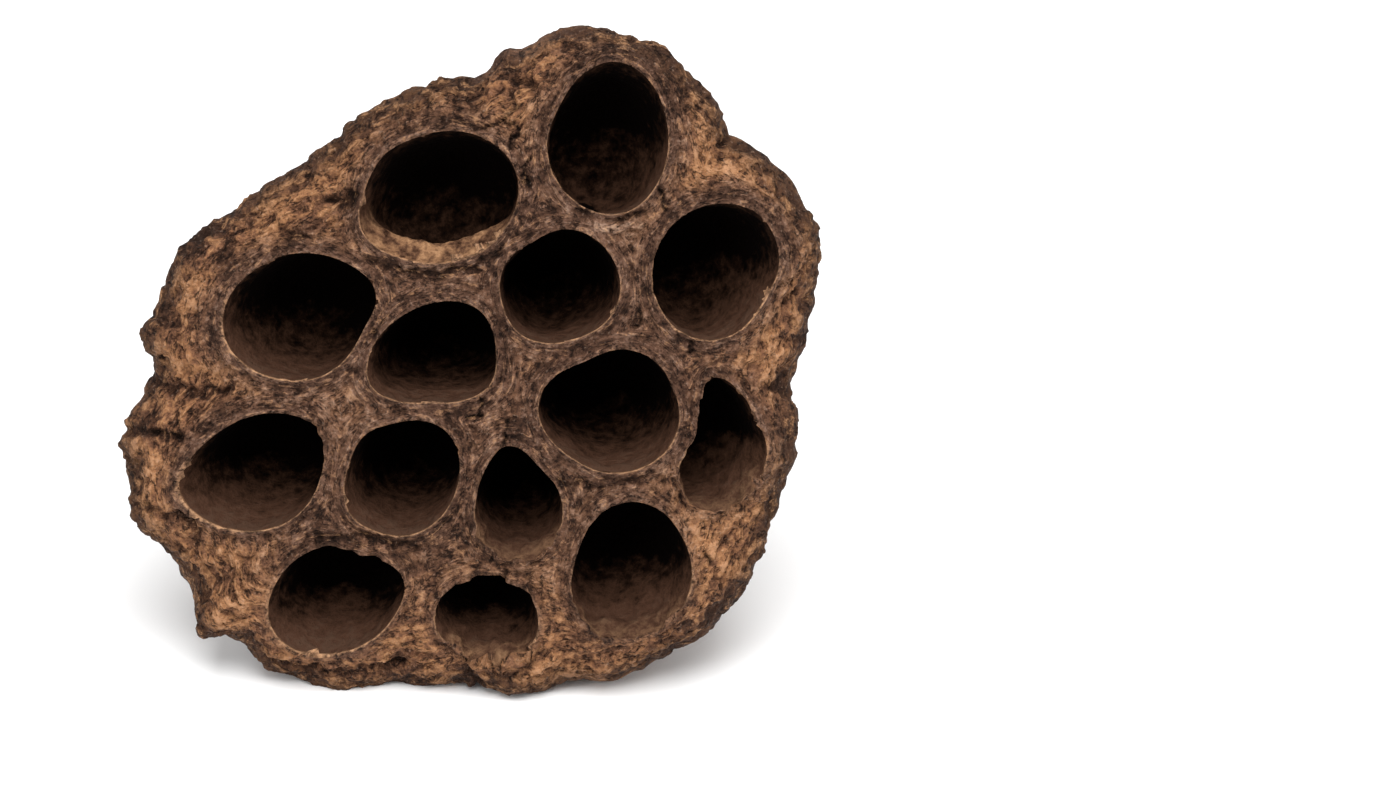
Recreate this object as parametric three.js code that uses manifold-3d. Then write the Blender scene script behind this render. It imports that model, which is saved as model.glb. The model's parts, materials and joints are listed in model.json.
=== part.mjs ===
// A dried lotus pod: the woody seed head of a lotus, its cells empty, lying on its rim and its stalk stump.
// Millimetres, +Z up. The pod is shaped facing -Y, with its seed face in the XZ plane and its depth along +Y,
// and then leaned back until three low spots stand on the floor.
import * as THREE from "three";
import { ConvexHull } from "three/addons/math/ConvexHull.js";
import { mergeVertices } from "three/addons/utils/BufferGeometryUtils.js";
import Module from "manifold-3d";

// Driving dimensions
const faceWidth = 80; // across the seed face
const podDepth = 41; // from the seed face back to the neck of the stalk
const leanBack = THREE.MathUtils.degToRad(18); // of the seed face, from upright
const cellDepth = 14.5; // of a cell in the middle of the face
const rimRoll = { depth: 3.2, width: 6.5 }; // how the face rounds over into the flank
const lip = { height: 0.9, width: 1.6 }; // the raised collar round each mouth
const neck = { x: 1, z: -13, radius: 6.4 }; // where the flank gathers into the stalk, seen from the face
const stump = { radius: 5.2, back: 8, drop: 9.6, bend: THREE.MathUtils.degToRad(50) }; // the cut stalk
const flankRound = 1.6; // 1 for a round back, 2 for a straight cone
const foot = { angle: THREE.MathUtils.degToRad(286), spread: 0.16, along: 0.17, height: 1.9 }; // a low bulge
const soleTrim = 0.5; // height worn flat at the low spots

// Sampling
const mouthSides = 24;
const rimStep = 2.1; // longest step along the rim
const rimSides = 144; // of the rings just inside the rim
const flankSides = { middle: 126, neck: 84, stump: 28 };
const ribs = 42;

// Outlines are traced on the reference picture, in its pixels,
// and scaled so that the face is faceWidth across.
const picture = { middle: [480, 372], across: 696, lookDown: THREE.MathUtils.degToRad(12) };
const rimTrace = [
  [570, 26], [604, 30], [640, 37], [664, 49], [682, 67], [700, 85], [713, 102], [719, 116],
  [728, 136], [740, 137],
  [762, 152], [780, 170], [793, 190], [808, 208], [817, 234], [819, 256], [812, 282], [814, 296], [807, 314],
  [806, 336], [796, 354], [790, 376], [795, 398], [796, 424], [792, 456], [784, 476], [782, 492], [772, 524],
  [760, 558], [745, 586], [720, 616], [690, 641], [655, 660], [618, 676], [585, 676], [548, 681], [510, 687],
  [481, 681], [470, 688], [458, 682], [430, 690], [385, 690], [332, 697], [300, 687], [262, 677], [254, 664],
  [240, 655], [231, 642], [203, 640], [190, 618], [191, 598], [180, 582], [170, 557], [154, 542], [136, 520],
  [131, 504], [134, 491], [128, 462], [123, 445], [131, 425], [134, 412], [148, 406], [144, 390], [160, 374],
  [149, 356], [146, 337], [163, 306], [164, 290], [174, 272], [174, 260], [196, 231], [224, 216], [250, 196],
  [292, 171], [316, 154], [325, 149], [331, 138], [350, 123], [380, 105], [402, 93], [422, 90], [438, 79],
  [470, 80], [483, 76], [486, 63], [502, 53], [521, 54], [534, 42], [548, 31],
];
const mouthTraces = [
  [[612, 60], [643, 75], [662, 110], [666, 145], [655, 180], [633, 205], [608, 212], [574, 199], [551, 172],
    [545, 138], [557, 106], [582, 72]],
  [[357, 222], [364, 195], [384, 156], [415, 140], [480, 138], [507, 155], [519, 187], [508, 222], [480, 252],
    [440, 263], [400, 258], [365, 241]],
  [[221, 328], [229, 300], [258, 272], [320, 257], [358, 271], [381, 294], [366, 326], [345, 362], [318, 381],
    [285, 384], [248, 373], [226, 350]],
  [[367, 368], [377, 340], [400, 317], [428, 303], [458, 300], [482, 309], [494, 330], [497, 352], [491, 385],
    [470, 397], [430, 401], [388, 398], [370, 388]],
  [[499, 282], [507, 258], [535, 238], [563, 225], [597, 236], [615, 258], [621, 287], [609, 314], [580, 333],
    [548, 340], [520, 332], [503, 304]],
  [[652, 258], [664, 228], [688, 205], [722, 196], [755, 205], [774, 230], [778, 258], [764, 290], [743, 320],
    [706, 334], [676, 321], [655, 290]],
  [[538, 402], [548, 379], [585, 357], [626, 342], [656, 353], [674, 380], [682, 410], [672, 440], [645, 461],
    [606, 467], [573, 452], [546, 427]],
  [[704, 371], [722, 369], [741, 384], [757, 410], [769, 438], [766, 462], [747, 490], [716, 507], [690, 494],
    [682, 466], [696, 432], [702, 400]],
  [[175, 494], [186, 470], [212, 442], [245, 422], [280, 416], [312, 425], [325, 452], [320, 485], [303, 514],
    [270, 533], [235, 535], [190, 517]],
  [[345, 492], [351, 462], [366, 434], [390, 424], [443, 424], [458, 441], [462, 465], [455, 497], [438, 522],
    [408, 538], [372, 532], [350, 517]],
  [[505, 440], [522, 443], [541, 463], [560, 484], [565, 508], [559, 537], [541, 553], [512, 559], [487, 547],
    [477, 518], [479, 492], [491, 460]],
  [[635, 495], [660, 502], [685, 530], [696, 562], [692, 592], [675, 616], [645, 634], [613, 636], [585, 618],
    [574, 585], [581, 548], [602, 510]],
  [[327, 549], [360, 558], [400, 570], [409, 588], [398, 615], [375, 643], [345, 658], [310, 662], [283, 652],
    [267, 624], [273, 594], [292, 567]],
  [[437, 612], [447, 592], [470, 581], [505, 580], [530, 590], [541, 612], [540, 637], [522, 656], [495, 666],
    [462, 655], [440, 636]],
];

const tau = 2 * Math.PI;
const { clamp, lerp, smoothstep, euclideanModulo } = THREE.MathUtils;
const range = (count) => Array.from({ length: count }, (_, i) => i);
const angleOf = (v) => euclideanModulo(Math.atan2(v.y, v.x), tau);
const polar = (angle, reach) => new THREE.Vector2(Math.cos(angle), Math.sin(angle)).multiplyScalar(reach);

// A traced pixel as a place on the seed face, or at a depth behind it: x to the right, y up the face.
function onFace([x, y], depth) {
  const scale = faceWidth / picture.across;
  const [middleX, middleY] = picture.middle;
  const up = ((middleY - y) * scale) / Math.cos(picture.lookDown) - depth * Math.tan(picture.lookDown);
  return new THREE.Vector2((x - middleX) * scale, up);
}

// A closed trace as a smooth reach against angle about a centre.
function outlineOf(trace, depth, centre) {
  const points = trace.map((pixel) => onFace(pixel, depth));
  const total = points.reduce((sum, p) => sum.add(p), new THREE.Vector2());
  const middle = centre ?? total.divideScalar(points.length);
  const spokes = points.map((p) => p.clone().sub(middle));
  const knots = spokes.map((d) => ({ angle: angleOf(d), reach: d.length() }));
  knots.sort((a, b) => a.angle - b.angle);
  const knot = (i) => {
    const turn = Math.floor(i / knots.length);
    const { angle, reach } = knots[euclideanModulo(i, knots.length)];
    return { angle: angle + turn * tau, reach };
  };
  const slope = (i) => (knot(i + 1).reach - knot(i - 1).reach) / (knot(i + 1).angle - knot(i - 1).angle);
  const reach = (angle) => {
    const a = euclideanModulo(angle, tau);
    const i = knots.filter((k) => k.angle <= a).length - 1;
    const span = knot(i + 1).angle - knot(i).angle;
    const t = (a - knot(i).angle) / span;
    const bend = (1 - t) * (span * slope(i) * (1 - t) - span * slope(i + 1) * t) * t;
    return lerp(knot(i).reach, knot(i + 1).reach, t * t * (3 - 2 * t)) + bend;
  };
  return { centre: middle, reach, angles: knots.map((k) => k.angle) };
}
const onOutline = ({ centre, reach }, angle) => centre.clone().add(polar(angle, reach(angle)));
const outsideBy = (outline, p) => {
  const d = p.clone().sub(outline.centre);
  return d.length() - outline.reach(angleOf(d));
};

const rim = outlineOf(rimTrace, rimRoll.depth + 1, new THREE.Vector2());
const mouths = mouthTraces.map((trace) => outlineOf(trace, 0));

// Seeded noise, smooth over a grid of the given pitch.
function hash(i, j, seed) {
  const s = Math.sin(i * 127.1 + j * 311.7 + seed * 74.7) * 43758.5453;
  return s - Math.floor(s);
}
function noise(x, y, pitch, seed) {
  const [i, j] = [Math.floor(x / pitch), Math.floor(y / pitch)];
  const [u, v] = [smoothstep(x / pitch - i, 0, 1), smoothstep(y / pitch - j, 0, 1)];
  const row = (k) => lerp(hash(i, j + k, seed), hash(i + 1, j + k, seed), u);
  return 2 * lerp(row(0), row(1), v) - 1;
}

// How far the rim is drawn in at this angle, against its neighbourhood: 0 on a lobe, up to 1 in a notch.
function notch(angle) {
  const spread = THREE.MathUtils.degToRad(7);
  const around = range(9).map((k) => rim.reach(angle + (k / 4 - 1) * spread));
  return clamp((Math.max(...around) - rim.reach(angle)) / 2.5, 0, 1);
}

// Depth of the rim's edge behind the seed face.
function rimDepth(angle) {
  const ruffle = 0.9 * Math.sin(11 * angle + 2 * Math.sin(3 * angle)) + 0.6 * noise(40 * angle, 0, 6, 3);
  return rimRoll.depth + ruffle + 1.4 * notch(angle);
}

// The seed face's surface: depth at a place on it.
function faceDepth(p) {
  const angle = angleOf(p);
  const inFromRim = rim.reach(angle) - p.length();
  const rolled = clamp(1 - inFromRim / rimRoll.width, 0, 1);
  const roll = rimDepth(angle) * (1 - Math.sqrt(1 - rolled * rolled));
  const crease = 1.6 * notch(angle) * (1 - smoothstep(inFromRim, 0, 10));
  const nearest = Math.min(...mouths.map((m) => outsideBy(m, p)));
  const collar = lip.height * Math.exp(-Math.max(nearest, 0) / lip.width);
  return roll + crease - collar + 0.7 * noise(p.x, p.y, 9, 1);
}
const facePoint = (p) => new THREE.Vector3(p.x, faceDepth(p), p.y);

// The flank: from the rim (along = 0) back and in to the neck (along = 1), ribbed and folded.
const ribHeights = range(ribs).map((k) => 0.35 + 0.75 * hash(k, 5, 2));
function ribRelief(angle, along) {
  const turned = (angle / tau) * ribs + 0.35 * Math.sin(3 * angle + 2 * along);
  const k = Math.floor(turned + 0.5);
  const ridge = Math.cos(tau * (turned - k)) * ribHeights[euclideanModulo(k, ribs)];
  const fold = -2.2 * notch(angle) * (1 - 0.7 * along);
  const offFoot = ((angle - foot.angle) / foot.spread) ** 2 + ((along - foot.along) / 0.1) ** 2;
  const bulge = foot.height * Math.exp(-offFoot);
  return (ridge + fold) * smoothstep(along, 0, 0.12) * (1 - 0.45 * along) + bulge;
}
function flankPoint(angle, along) {
  const swing = along * (Math.PI / 2);
  const edge = polar(angle, rim.reach(angle));
  const gathered = new THREE.Vector2(neck.x, neck.z).add(polar(angle, neck.radius));
  const plan = gathered.lerp(edge, Math.cos(swing) ** flankRound);
  const depth = lerp(rimDepth(angle) + 1.6 * notch(angle), podDepth, Math.sin(swing) ** flankRound);
  const relief = ribRelief(angle, along);
  const out = polar(angle, relief * Math.cos(swing));
  return new THREE.Vector3(plan.x + out.x, depth + relief * Math.sin(swing), plan.y + out.y);
}

// The stump: rings square to a line that bends down from the neck, and its broken end.
function stumpPoint(angle, along, radius) {
  const bend = stump.bend * along;
  const up = new THREE.Vector3(0, Math.sin(bend), Math.cos(bend));
  const drop = stump.drop * along * along;
  const middle = new THREE.Vector3(neck.x, podDepth + stump.back * along, neck.z - drop);
  const wobble = 1 + 0.05 * Math.sin(5 * angle + 3 * along);
  return middle
    .add(new THREE.Vector3(1, 0, 0).multiplyScalar(radius * wobble * Math.cos(angle)))
    .add(up.multiplyScalar(radius * wobble * Math.sin(angle)));
}

// A growing triangle mesh. A ring is a row of vertices with the angle of each,
// counter-clockwise from the front.
const vertices = [];
const triangles = [];
const addVertex = (v) => vertices.push(v) - 1;
const addRing = (angles, place) => angles.map((angle) => ({ angle, vertex: addVertex(place(angle)) }));
const evenAngles = (sides, start = 0) => range(sides).map((k) => start + (k / sides) * tau);

// Joins two rings by angle, whatever their counts: the first is the outer or the deeper one.
function zip(first, second) {
  const at = (ring, i) => {
    const { angle, vertex } = ring[i % ring.length];
    return { angle: angle + tau * Math.floor(i / ring.length), vertex };
  };
  let [i, j] = [0, 0];
  while (i < first.length || j < second.length) {
    const [a, b, nextA, nextB] = [at(first, i), at(second, j), at(first, i + 1), at(second, j + 1)];
    const goFirst = j >= second.length || (i < first.length && nextA.angle <= nextB.angle);
    triangles.push([a.vertex, b.vertex, goFirst ? nextA.vertex : nextB.vertex]);
    if (goFirst) i += 1;
    else j += 1;
  }
}
function cap(ring, middle) {
  const pole = addVertex(middle);
  ring.forEach((a, k) => triangles.push([a.vertex, pole, ring[(k + 1) % ring.length].vertex]));
}

// The rim's own places, close together round its notches.
function rimPlaces() {
  return rim.angles.flatMap((start, i) => {
    const end = i + 1 < rim.angles.length ? rim.angles[i + 1] : rim.angles[0] + tau;
    const length = onOutline(rim, end).distanceTo(onOutline(rim, start));
    const steps = Math.ceil(length / rimStep);
    return range(steps).map((k) => lerp(start, end, k / steps));
  });
}

const insidePolygon = (p, loop) =>
  loop.filter((a, k) => {
    const b = loop[(k + 1) % loop.length];
    return a.y > p.y !== b.y > p.y && p.x < a.x + ((p.y - a.y) / (b.y - a.y)) * (b.x - a.x);
  }).length % 2 === 1;

// Places on the face between the mouths: collars, rings inside the rim and an even fill.
function facePlaces(loops) {
  const kept = loops.flat();
  const edges = loops.flatMap((loop) => loop.map((a, k) => [a, loop[(k + 1) % loop.length]]));
  const offer = (p, spacing) => {
    const inside = rim.reach(angleOf(p)) - p.length() > 0.9;
    const clear = mouths.every((m) => outsideBy(m, p) > 0.6) && kept.every((q) => q.distanceTo(p) > spacing);
    const crowds = ([a, b]) => p.distanceTo(a.clone().lerp(b, 0.5)) < 0.52 * a.distanceTo(b);
    if (inside && clear && !edges.some(crowds)) kept.push(p);
  };
  for (const mouth of mouths) {
    const others = mouths.filter((m) => m !== mouth);
    for (const offset of [1.3, 3.1]) {
      for (const angle of evenAngles(mouthSides, Math.PI / mouthSides)) {
        const onLip = onOutline(mouth, angle);
        const room = Math.min(...others.map((m) => outsideBy(m, onLip))) / 2;
        offer(onLip.add(polar(angle, Math.min(offset, room))), 0.95);
      }
    }
  }
  for (const inset of [1.4, 3.6, 6.4]) {
    for (const angle of evenAngles(rimSides)) offer(polar(angle, rim.reach(angle) - inset), 1.35);
  }
  const pitch = 3;
  for (const row of range(40)) {
    for (const column of range(40)) {
      const jitter = 0.3 * hash(row, column, 9);
      const across = (column - 20 + (row % 2) / 2 + jitter) * pitch;
      offer(new THREE.Vector2(across, (row - 20) * pitch * 0.87), 1.9);
    }
  }
  return kept;
}

// Delaunay triangles of places on a plane: the lower hull of the places lifted onto a paraboloid.
function delaunay(places) {
  const lifted = places.map((p) => new THREE.Vector3(p.x, p.y, p.lengthSq()));
  const numbers = new Map(lifted.map((v, i) => [v, i]));
  const hull = new ConvexHull().setFromPoints(lifted);
  return hull.faces
    .filter((face) => face.normal.z < -1e-9)
    .map((face) => [face.edge.tail(), face.edge.head(), face.edge.next.head()])
    .map((corners) => corners.map((v) => numbers.get(v.point)));
}

// Counter-clockwise as seen from the front.
const facing = ([a, b, c], places) =>
  places[b].clone().sub(places[a]).cross(places[c].clone().sub(places[a])) > 0 ? [a, b, c] : [a, c, b];

function buildFace() {
  const rimAngles = rimPlaces();
  const lipAngles = evenAngles(mouthSides);
  const rimLoop = rimAngles.map((angle) => onOutline(rim, angle));
  const lipLoops = mouths.map((mouth) => lipAngles.map((angle) => onOutline(mouth, angle)));
  const places = facePlaces([rimLoop, ...lipLoops]);
  const numbers = places.map((p) => addVertex(facePoint(p)));
  for (const triangle of delaunay(places)) {
    const middle = triangle.reduce((sum, i) => sum.add(places[i]), new THREE.Vector2()).divideScalar(3);
    if (!insidePolygon(middle, rimLoop) || lipLoops.some((loop) => insidePolygon(middle, loop))) continue;
    triangles.push(facing(triangle, places).map((i) => numbers[i]));
  }
  const ringFrom = (angles, start) => angles.map((angle, k) => ({ angle, vertex: numbers[start + k] }));
  const rimRing = ringFrom(rimAngles, 0);
  const lipRings = mouths.map((_, m) => ringFrom(lipAngles, rimAngles.length + m * mouthSides));
  return { rimRing, lipRings };
}

// A cell: from its lip down a steep wall to a rounded floor that leans towards the stalk.
// Share of the cell's depth, and its share of the mouth's width there.
const cellProfile = [[0.08, 0.97], [0.3, 0.95], [0.55, 0.9], [0.78, 0.76], [0.93, 0.5]];
function buildCell(mouth, lipRing) {
  const inFromRim = rim.reach(angleOf(mouth.centre)) - mouth.centre.length();
  const depth = cellDepth * lerp(0.78, 1, smoothstep(inFromRim, 8, 24));
  const lean = mouth.centre.clone().multiplyScalar(-0.17).add(new THREE.Vector2(0, 0.8));
  const ringAt = ([down, width]) =>
    lipRing.map(({ angle, vertex }) => {
      const p = mouth.centre.clone().addScaledVector(lean, down);
      p.add(polar(angle, mouth.reach(angle) * width));
      const place = new THREE.Vector3(p.x, lerp(vertices[vertex].y, depth, down), p.y);
      return { angle, vertex: addVertex(place) };
    });
  const rings = [lipRing, ...cellProfile.map(ringAt)];
  rings.slice(1).forEach((ring, i) => zip(ring, rings[i]));
  const floor = mouth.centre.clone().add(lean);
  cap([...rings.at(-1)].reverse(), new THREE.Vector3(floor.x, depth, floor.y));
}

function buildFlank(rimRing) {
  const rimAngles = rimRing.map(({ angle }) => angle);
  const middleAngles = evenAngles(flankSides.middle, rimAngles[0]);
  const neckAngles = evenAngles(flankSides.neck, rimAngles[0]);
  const stumpAngles = evenAngles(flankSides.stump, rimAngles[0]);
  const flankRing = (angles) => (along) => addRing(angles, (angle) => flankPoint(angle, along));
  const stumpRing = ([along, width]) =>
    addRing(stumpAngles, (angle) => stumpPoint(angle, along, stump.radius * width));
  const rings = [
    rimRing,
    ...[0.06, 0.13, 0.21, 0.3].map(flankRing(rimAngles)),
    ...[0.39, 0.49, 0.59, 0.68].map(flankRing(middleAngles)),
    ...[0.77, 0.85, 0.93, 1].map(flankRing(neckAngles)),
    ...[[0.15, 1.05], [0.5, 0.98], [0.93, 1], [1, 0.93], [0.98, 0.55]].map(stumpRing),
  ];
  rings.slice(1).forEach((ring, i) => zip(rings[i], ring));
  cap(rings.at(-1), stumpPoint(0, 0.93, 0));
}

const { rimRing, lipRings } = buildFace();
mouths.forEach((mouth, m) => buildCell(mouth, lipRings[m]));
buildFlank(rimRing);

// The low spots are worn flat, so that the pod stands on them.
const wasm = await Module();
wasm.setup();
function solidOf(geometry) {
  const bare = geometry.clone();
  bare.deleteAttribute("normal");
  bare.deleteAttribute("uv");
  const merged = mergeVertices(bare, 1e-4);
  const mesh = { numProp: 3, vertProperties: merged.attributes.position.array, triVerts: merged.index.array };
  return new wasm.Manifold(new wasm.Mesh({ ...mesh, triVerts: new Uint32Array(mesh.triVerts) }));
}
function geometryOf(solid) {
  const mesh = solid.getMesh();
  const geometry = new THREE.BufferGeometry();
  geometry.setAttribute("position", new THREE.BufferAttribute(mesh.vertProperties, 3));
  geometry.setIndex(new THREE.BufferAttribute(mesh.triVerts, 1));
  geometry.computeVertexNormals();
  return geometry;
}
const shaped = new THREE.BufferGeometry().setFromPoints(vertices);
shaped.setIndex(triangles.flat());

const leaned = new THREE.Matrix4().makeRotationX(-leanBack);
const lowest = Math.min(...vertices.map((v) => v.clone().applyMatrix4(leaned).z));
const slab = new THREE.BoxGeometry(4 * faceWidth, 4 * faceWidth, faceWidth);
slab.translate(0, 0, lowest + soleTrim - faceWidth / 2);
slab.applyMatrix4(leaned.clone().invert());
const podGeometry = geometryOf(solidOf(shaped).subtract(solidOf(slab)));

const driedSkin = new THREE.MeshStandardMaterial({ color: 0x6b4c3b, roughness: 0.9, metalness: 0 });
const pod = new THREE.Mesh(podGeometry, driedSkin);
pod.name = "lotus_pod";
pod.rotation.x = -leanBack;

// The origin is on the floor, under the middle of the pod.
const lotusPod = new THREE.Group();
lotusPod.add(pod);
const box = new THREE.Box3().setFromObject(lotusPod, true);
const middle = box.getCenter(new THREE.Vector3());
pod.position.set(-middle.x, -middle.y, -box.min.z);

export default lotusPod;
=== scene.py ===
import json
import math
import bmesh
import bpy
import numpy as np
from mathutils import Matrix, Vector, noise
from mathutils.bvhtree import BVHTree
from mathutils.kdtree import KDTree


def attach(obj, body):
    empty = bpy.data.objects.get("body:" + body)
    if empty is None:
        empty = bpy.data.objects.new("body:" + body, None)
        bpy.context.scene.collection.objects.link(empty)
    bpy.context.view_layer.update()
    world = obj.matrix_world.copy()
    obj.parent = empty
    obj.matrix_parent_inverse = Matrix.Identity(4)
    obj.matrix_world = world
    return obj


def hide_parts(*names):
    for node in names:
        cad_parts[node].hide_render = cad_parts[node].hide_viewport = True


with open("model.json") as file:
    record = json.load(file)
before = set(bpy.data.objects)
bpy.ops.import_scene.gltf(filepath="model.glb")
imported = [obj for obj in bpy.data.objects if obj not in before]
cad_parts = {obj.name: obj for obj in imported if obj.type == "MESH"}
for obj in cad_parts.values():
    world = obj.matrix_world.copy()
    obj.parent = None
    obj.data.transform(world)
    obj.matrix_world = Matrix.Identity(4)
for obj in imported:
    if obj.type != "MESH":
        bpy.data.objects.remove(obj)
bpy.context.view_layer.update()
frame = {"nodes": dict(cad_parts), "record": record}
mm = 0.001

# the pod's own axes: x to the right and z up the seed face, y into the pod
pod = {
    "node": "lotus_pod",
    "lean": math.radians(18),             # of the seed face, from upright
    "faceCentre": (1.03, -16.43, 38.21),  # mm, in the frame
    "neck": (1.0, 41.0, -13.0),           # mm, in the pod's own axes
    "stumpBend": math.radians(50),        # of the stump, down from the y axis
    "voxel": 0.66,                        # mm, first even mesh
    "lipAngle": math.radians(60),         # edges sharper than this bound a cell
    "lipSnap": (0.45, 0.95),              # mm from a lip: drawn fully onto it, left where it is
    "faceDepth": 5.0,                     # mm, what gets the finer mesh
    "cadWeld": 0.01,                      # mm, merges the copy's doubled corners
    "lipWeld": 0.07,                      # mm, merges corners that were drawn onto one spot
}
openings = frame["record"]["physics"]["openings"]


def deselectAll():
    bpy.ops.object.select_all(action="DESELECT")


def makeActive(piece):
    deselectAll()
    piece.select_set(True)
    bpy.context.view_layer.objects.active = piece


def applyModifier(piece, kind, **settings):
    makeActive(piece)
    modifier = piece.modifiers.new(kind.title(), kind)
    for name, value in settings.items():
        setattr(modifier, name, value)
    bpy.ops.object.modifier_apply(modifier=modifier.name)


def smoothStep(low, high, value):
    t = np.clip((value - low) / (high - low), 0.0, 1.0)
    return t * t * (3.0 - 2.0 * t)


def readVertices(mesh):
    values = np.empty(len(mesh.vertices) * 3)
    mesh.vertices.foreach_get("co", values)
    return values.reshape(-1, 3)


def turnToPod(directions):
    x, y, z = directions.T
    c, s = math.cos(pod["lean"]), math.sin(pod["lean"])
    return np.stack([x, y * c - z * s, y * s + z * c], axis=1)


def turnToFrame(directions):
    x, y, z = directions.T
    c, s = math.cos(pod["lean"]), math.sin(pod["lean"])
    return np.stack([x, y * c + z * s, z * c - y * s], axis=1)


def toPod(points):  # frame metres to millimetres in the pod's own axes
    return turnToPod(points / mm - np.array(pod["faceCentre"]))


def grain(points, size, seed=0, octaves=2):  # soft noise, about -1 to 1, in lumps of this size
    shift = Vector((17.3 * seed, 9.1 * seed, 4.7 * seed))
    return np.array([noise.fractal(Vector(p) / size + shift, 1.0, 2.0, octaves) for p in points])


# copy of the CAD pod, cleaned, with every cell found from its opening in the record
def copyPod():
    piece = bpy.data.objects.new("dried_lotus_pod", frame["nodes"][pod["node"]].data.copy())
    bpy.context.collection.objects.link(piece)
    makeActive(piece)
    bpy.ops.object.mode_set(mode="EDIT")
    bpy.ops.mesh.select_all(action="SELECT")
    bpy.ops.mesh.remove_doubles(threshold=pod["cadWeld"] * mm)
    bpy.ops.object.mode_set(mode="OBJECT")
    piece.data.materials.clear()
    return piece


def findCells(piece):
    bm = bmesh.new()
    bm.from_mesh(piece.data)
    bm.faces.ensure_lookup_table()
    tree = BVHTree.FromBMesh(bm)
    cellOfFace = np.zeros(len(bm.faces), dtype=int)  # 0 is the outside
    for opening in openings:
        number = int(opening["name"].split("_")[1])
        low, high = (Vector(corner) for corner in opening["box_m"])
        floor = tree.ray_cast((low + high) / 2, Vector((0, 1, 0)))[2]
        waiting = [bm.faces[floor]]
        while waiting:
            face = waiting.pop()
            if cellOfFace[face.index]:
                continue
            cellOfFace[face.index] = number
            smooth = [edge for edge in face.edges if edge.calc_face_angle(0) < pod["lipAngle"]]
            waiting += [other for edge in smooth for other in edge.link_faces if other is not face]
    crease = bm.edges.layers.float.new("crease_edge")
    for edge in bm.edges:
        sides = {int(cellOfFace[face.index]) for face in edge.link_faces}
        if len(sides) > 1:
            edge[crease] = 1.0
    bm.to_mesh(piece.data)
    bm.free()
    return tree, cellOfFace


podPiece = copyPod()
cellTree, cellOfFace = findCells(podPiece)
print("cells found:", len(set(cellOfFace)) - 1)

# smooth the facets and keep the lips
makeActive(podPiece)
bpy.ops.object.mode_set(mode="EDIT")
bpy.ops.mesh.select_all(action="SELECT")
bpy.ops.mesh.tris_convert_to_quads()
bpy.ops.object.mode_set(mode="OBJECT")
applyModifier(podPiece, "SUBSURF", levels=2, render_levels=2)


def findLips(piece):  # each mouth's ring of points, four to an edge
    crease = piece.data.attributes["crease_edge"].data
    ends = [tuple(e.vertices) for e in piece.data.edges if crease[e.index].value > 0.5]
    spots = readVertices(piece.data)
    links = {}
    for a, b in ends:
        links.setdefault(a, []).append(b)
        links.setdefault(b, []).append(a)
    rings = []
    while links:
        waiting, ring = [next(iter(links))], []
        while waiting:
            spot = waiting.pop()
            for other in links.pop(spot, []):
                ring += [spots[spot] + (spots[other] - spots[spot]) * t for t in (0.0, 0.25, 0.5, 0.75)]
                waiting.append(other)
        rings.append(np.array(ring))
    return rings


lips = findLips(podPiece)
print("lips found:", len(lips))

# an even mesh, finer on the seed face, with its lips drawn back onto their lines
applyModifier(podPiece, "REMESH", mode="VOXEL", voxel_size=pod["voxel"] * mm)
applyModifier(podPiece, "SMOOTH", factor=0.5, iterations=3)


def cellAt(points):
    return np.array([cellOfFace[cellTree.find_nearest(Vector(p))[2]] for p in points])


def refineSeedFace(piece):
    points = readVertices(piece.data)
    onFace = (toPod(points)[:, 1] < pod["faceDepth"]) & (cellAt(points) == 0)
    for face in piece.data.polygons:
        face.select = all(onFace[v] for v in face.vertices)
    makeActive(piece)
    bpy.ops.object.mode_set(mode="EDIT")
    bpy.ops.mesh.select_mode(type="FACE")
    bpy.ops.mesh.subdivide(number_cuts=1, smoothness=0.0)
    bpy.ops.object.mode_set(mode="OBJECT")


def treeOf(spots):
    tree = KDTree(len(spots))
    for number, spot in enumerate(spots):
        tree.insert(spot, number)
    tree.balance()
    return tree


def sharpenLips(piece):
    tree = treeOf(np.concatenate(lips))
    points = readVertices(piece.data)
    full, none = pod["lipSnap"]
    for number, point in enumerate(points):
        spot, _, gap = tree.find(Vector(point))
        if gap < none * mm:
            pull = 1.0 - smoothStep(full, none, gap / mm)
            points[number] = point + (np.array(spot) - point) * pull
    piece.data.vertices.foreach_set("co", points.ravel())
    makeActive(piece)
    bpy.ops.object.mode_set(mode="EDIT")
    bpy.ops.mesh.select_all(action="SELECT")
    bpy.ops.mesh.remove_doubles(threshold=pod["lipWeld"] * mm)
    bpy.ops.object.mode_set(mode="OBJECT")


refineSeedFace(podPiece)
sharpenLips(podPiece)
triangles = sum(len(face.vertices) - 2 for face in podPiece.data.polygons)
print("even mesh:", len(podPiece.data.vertices), "vertices,", triangles, "triangles")

# fields that the relief and the finishes follow, in mm
fields = {
    "lipSearch": (19.0, 24.0),  # into the pod, and from a mouth's middle: no lip is measured past it
    "farLip": 40.0,             # stands for any lip farther off
    "frontFade": (3.0, 7.0),    # into the pod: seed face, flank
    "wander": ((0.030, 14.0, 21), (0.012, 5.0, 22)),  # of the ribs: radians, mm, noise seed
    "ribStretch": 0.12,         # a rib's pattern changes slowly along its run
    "pithFade": (4.0, 1.5),     # from the stump's cut end: husk, pith
}
points = readVertices(podPiece.data)
local = toPod(points)
turn = np.arctan2(local[:, 2], local[:, 0])
reach = np.hypot(local[:, 0], local[:, 2])
cell = cellAt(points)


def measureRim():
    bins = 240
    slot = ((turn / math.tau + 0.5) * bins).astype(int) % bins
    rim = np.zeros(bins)
    np.maximum.at(rim, slot, reach)
    wide = np.concatenate([rim[-1:], rim, rim[:1]])
    at = (np.arange(bins + 2) - 0.5) / bins
    return np.interp(turn / math.tau + 0.5, at, wide) - reach


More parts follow.
